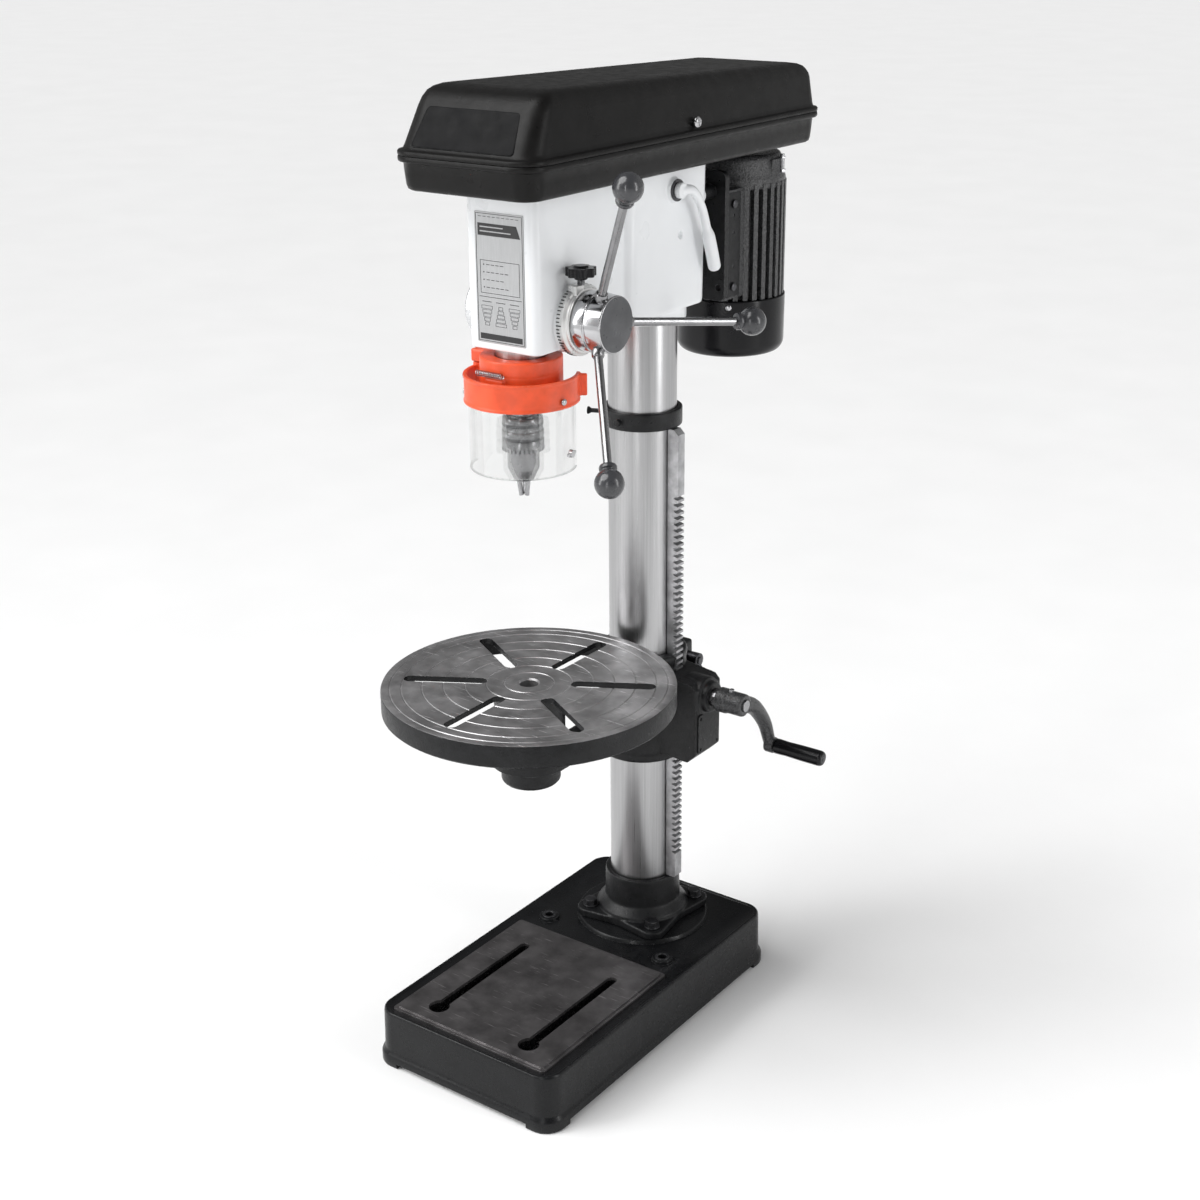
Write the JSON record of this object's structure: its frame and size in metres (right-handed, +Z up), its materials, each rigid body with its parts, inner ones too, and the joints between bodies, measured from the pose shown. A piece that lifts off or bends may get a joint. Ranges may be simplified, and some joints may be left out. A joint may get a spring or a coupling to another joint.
{
  "type": "drill press",
  "caption": "Bench drill press with a round tilting table on a rack-raised bracket, a lever-fed quill, a guarded chuck and a hinged belt cover.",
  "frame": {"origin": "column axis where it meets the surface that the base stands on", "axes": "+Z up along the column, -Y towards the operator, +X to the operator's right"},
  "size_m": [0.3848, 0.6418, 1.12],
  "materials": {
    "white_paint": "semi-gloss white enamel",
    "black_paint": "satin black enamel on a casting",
    "black_plastic": "fine-grained moulding",
    "machined_iron": "turned face",
    "ground_steel": "ground",
    "dark_steel": "blackened",
    "chrome": "polished",
    "aluminium": "turned",
    "red_plastic": "satin",
    "green_plastic": "satin",
    "clear_plastic": "clear",
    "rubber": "matte"
  },
  "bodies": {
    "frame": {"base": "black_paint", "column_flange": "black_paint", "flange_bolt_1": "dark_steel", "flange_bolt_2": "dark_steel", "flange_bolt_3": "dark_steel", "flange_bolt_4": "dark_steel", "column": "ground_steel", "rack_collar": "black_paint", "head_casting": "white_paint", "spring_cap": "aluminium", "return_spring": "dark_steel", "pulley_pan": "black_plastic", "front_belt": "rubber", "rear_belt": "rubber", "switch_box": "black_plastic"},
    "rack_body": {"rack": "ground_steel"},
    "table_carriage": {"table_bracket": "black_paint"},
    "pinion_gear": {"rack_gear": "dark_steel"},
    "table_crank": {"worm_shaft": "ground_steel", "crank_arm": "black_paint"},
    "crank_handle": {"crank_grip": "black_plastic"},
    "clamp_lever": {"column_clamp_lever": "dark_steel"},
    "table_support": {"table_arm": "black_paint"},
    "table_plate": {"table": "machined_iron"},
    "quill_body": {"quill": "ground_steel", "quill_bearing": "dark_steel", "guard_clamp": "red_plastic", "guard_spring": "chrome"},
    "spindle_body": {"spindle": "ground_steel", "chuck_body": "ground_steel"},
    "chuck_ring": {"chuck_sleeve": "dark_steel"},
    "jaw_a": {"chuck_jaw_a": "ground_steel"},
    "jaw_b": {"chuck_jaw_b": "ground_steel"},
    "jaw_c": {"chuck_jaw_c": "ground_steel"},
    "guard": {"guard_band": "red_plastic", "guard_shield": "clear_plastic"},
    "feed": {"feed_shaft": "ground_steel", "feed_hub": "chrome", "feed_lever_1": "chrome", "feed_lever_2": "chrome", "feed_lever_3": "chrome", "feed_knob_1": "black_plastic", "feed_knob_2": "black_plastic", "feed_knob_3": "black_plastic"},
    "depth_stop": {"depth_ring": "aluminium"},
    "depth_lock": {"depth_lock_knob": "black_plastic"},
    "sleeve_pulley": {"spindle_pulley": "aluminium"},
    "middle_pulley": {"middle_pulley": "aluminium"},
    "motor_carriage": {"motor_body": "black_paint", "motor_fan_cover": "black_plastic", "motor_plate": "black_paint"},
    "motor_rotor": {"motor_shaft": "ground_steel", "motor_pulley": "aluminium"},
    "belt_lever": {"tension_lever": "white_paint"},
    "lid": {"pulley_cover": "black_plastic"},
    "lid_screw": {"cover_screw": "chrome"},
    "start": {"start_button": "green_plastic"},
    "stop": {"stop_button": "red_plastic"}
  },
  "joints": [
    {"name": "rack_swing", "type": "hinge", "parent": "frame", "child": "rack_body", "pos_m": [0, 0, 0.4], "axis": [0, 0, 1], "range_deg": [-175, 175]},
    {"name": "table_lift", "type": "slide", "parent": "rack_body", "child": "table_carriage", "axis": [0, 0, 1], "range_m": [-0.15, 0.06]},
    {"name": "gear_turn", "type": "hinge", "parent": "table_carriage", "child": "pinion_gear", "pos_m": [0.0695, -0.004, 0.37], "axis": [0, 1, 0], "range_deg": [-220, 520]},
    {"name": "crank_turn", "type": "hinge", "parent": "table_carriage", "child": "table_crank", "pos_m": [0.12, -0.004, 0.398], "axis": [1, 0, 0], "range_deg": [-6900, 2800]},
    {"name": "grip_spin", "type": "hinge", "parent": "table_crank", "child": "crank_handle", "pos_m": [0.18, 0.065, 0.32], "axis": [1, 0, 0], "continuous": true},
    {"name": "clamp_turn", "type": "hinge", "parent": "table_carriage", "child": "clamp_lever", "pos_m": [0, 0.066, 0.405], "axis": [1, 0, 0], "range_deg": [-40, 40]},
    {"name": "table_tilt", "type": "hinge", "parent": "table_carriage", "child": "table_support", "pos_m": [0, -0.0753, 0.372], "axis": [0, 1, 0], "range_deg": [-45, 45]},
    {"name": "table_spin", "type": "hinge", "parent": "table_support", "child": "table_plate", "pos_m": [0, -0.2227, 0.4694], "axis": [0, 0, 1], "continuous": true},
    {"name": "quill_slide", "type": "slide", "parent": "frame", "child": "quill_body", "axis": [0, 0, -1], "range_m": [0, 0.08], "stiffness_N_per_m": 150, "springref_m": -0.3},
    {"name": "feed_turn", "type": "hinge", "parent": "frame", "child": "feed", "pos_m": [0.06, -0.19, 0.882], "axis": [1, 0, 0], "range_deg": [-5, 560]},
    {"name": "depth_ring_turn", "type": "hinge", "parent": "feed", "child": "depth_stop", "pos_m": [0.06, -0.19, 0.882], "axis": [1, 0, 0], "range_deg": [-20, 90]},
    {"name": "depth_lock_turn", "type": "hinge", "parent": "depth_stop", "child": "depth_lock", "pos_m": [0.064, -0.202, 0.925], "axis": [0, 0, 1], "range_deg": [-180, 0]},
    {"name": "motor_spin", "type": "hinge", "parent": "motor_carriage", "child": "motor_rotor", "pos_m": [0, 0.188, 1.05], "axis": [0, 0, 1], "continuous": true},
    {"name": "middle_spin", "type": "hinge", "parent": "frame", "child": "middle_pulley", "pos_m": [0, -0.02, 1.05], "axis": [0, 0, 1], "continuous": true},
    {"name": "sleeve_spin", "type": "hinge", "parent": "frame", "child": "sleeve_pulley", "pos_m": [0, -0.2227, 1.05], "axis": [0, 0, 1], "continuous": true},
    {"name": "spindle_spin", "type": "hinge", "parent": "quill_body", "child": "spindle_body", "pos_m": [0, -0.2227, 0.78], "axis": [0, 0, 1], "continuous": true},
    {"name": "chuck_ring_turn", "type": "hinge", "parent": "spindle_body", "child": "chuck_ring", "pos_m": [0, -0.2227, 0.737], "axis": [0, 0, 1], "range_deg": [-10, 400]},
    {"name": "jaw_a_slide", "type": "slide", "parent": "spindle_body", "child": "jaw_a", "axis": [0.1392, 0, 0.9903], "range_m": [-0.0002, 0.0064]},
    {"name": "jaw_b_slide", "type": "slide", "parent": "spindle_body", "child": "jaw_b", "axis": [-0.0696, 0.1205, 0.9903], "range_m": [-0.0002, 0.0064]},
    {"name": "jaw_c_slide", "type": "slide", "parent": "spindle_body", "child": "jaw_c", "axis": [-0.0696, -0.1205, 0.9903], "range_m": [-0.0002, 0.0064]},
    {"name": "guard_swing", "type": "hinge", "parent": "quill_body", "child": "guard", "pos_m": [-0.0585, -0.2227, 0.8], "axis": [0, 0, -1], "range_deg": [0, 100]},
    {"name": "motor_slide", "type": "slide", "parent": "frame", "child": "motor_carriage", "axis": [0, 1, 0], "range_m": [0, 0.008], "deforming": ["rear_belt"]},
    {"name": "tension_turn", "type": "hinge", "parent": "frame", "child": "belt_lever", "pos_m": [0.058, -0.021, 0.993], "axis": [1, 0, 0], "range_deg": [-2, 47]},
    {"name": "cover_open", "type": "hinge", "parent": "frame", "child": "lid", "pos_m": [-0.0955, 0, 1.054], "axis": [0, -1, 0], "range_deg": [0, 95]},
    {"name": "cover_screw_turn", "type": "hinge", "parent": "lid", "child": "lid_screw", "pos_m": [0.0923, -0.027, 1.0673], "axis": [1, 0, 0], "range_deg": [-360, 0]},
    {"name": "start_push", "type": "slide", "parent": "frame", "child": "start", "axis": [1, 0, 0], "range_m": [0, 0.003], "stiffness_N_per_m": 400},
    {"name": "stop_push", "type": "slide", "parent": "frame", "child": "stop", "axis": [1, 0, 0], "range_m": [0, 0.003], "stiffness_N_per_m": 400}
  ],
  "couplings": [
    {"joint": "gear_turn", "follows": "table_lift", "rad_per_m": -57.172},
    {"joint": "crank_turn", "follows": "table_lift", "rad_per_m": 800.41},
    {"joint": "feed_turn", "follows": "quill_slide", "rad_per_m": 111.11},
    {"joint": "middle_spin", "follows": "motor_spin", "ratio": 0.5041},
    {"joint": "sleeve_spin", "follows": "motor_spin", "ratio": 0.3299},
    {"joint": "spindle_spin", "follows": "motor_spin", "ratio": 0.3299},
    {"joint": "jaw_a_slide", "follows": "chuck_ring_turn", "m_per_rad": 0.0009},
    {"joint": "jaw_b_slide", "follows": "chuck_ring_turn", "m_per_rad": 0.0009},
    {"joint": "jaw_c_slide", "follows": "chuck_ring_turn", "m_per_rad": 0.0009},
    {"joint": "tension_turn", "follows": "motor_slide", "rad_per_m": 100}
  ]
}
